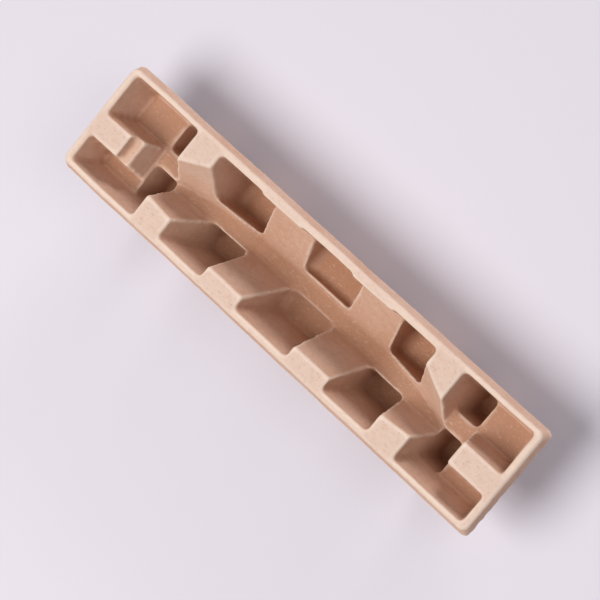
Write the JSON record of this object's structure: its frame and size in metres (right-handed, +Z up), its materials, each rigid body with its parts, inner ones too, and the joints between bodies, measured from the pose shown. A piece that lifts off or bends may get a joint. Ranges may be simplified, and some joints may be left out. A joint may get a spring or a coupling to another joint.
{
  "type": "moulded pulp shipper insert",
  "caption": "Long moulded pulp cushion tray with a curved trough, side pockets and a stepped cell at each end.",
  "frame": {"origin": "centre of the length and width, on the plane that the feet rest on", "axes": "+X along the length, +Y towards the side with the steeper outer wall, +Z up out of the open side"},
  "size_m": [0.55, 0.124, 0.088],
  "materials": {
    "pulp": "matte"
  },
  "bodies": {
    "root": {"pulp_insert": "pulp"}
  },
  "joints": []
}
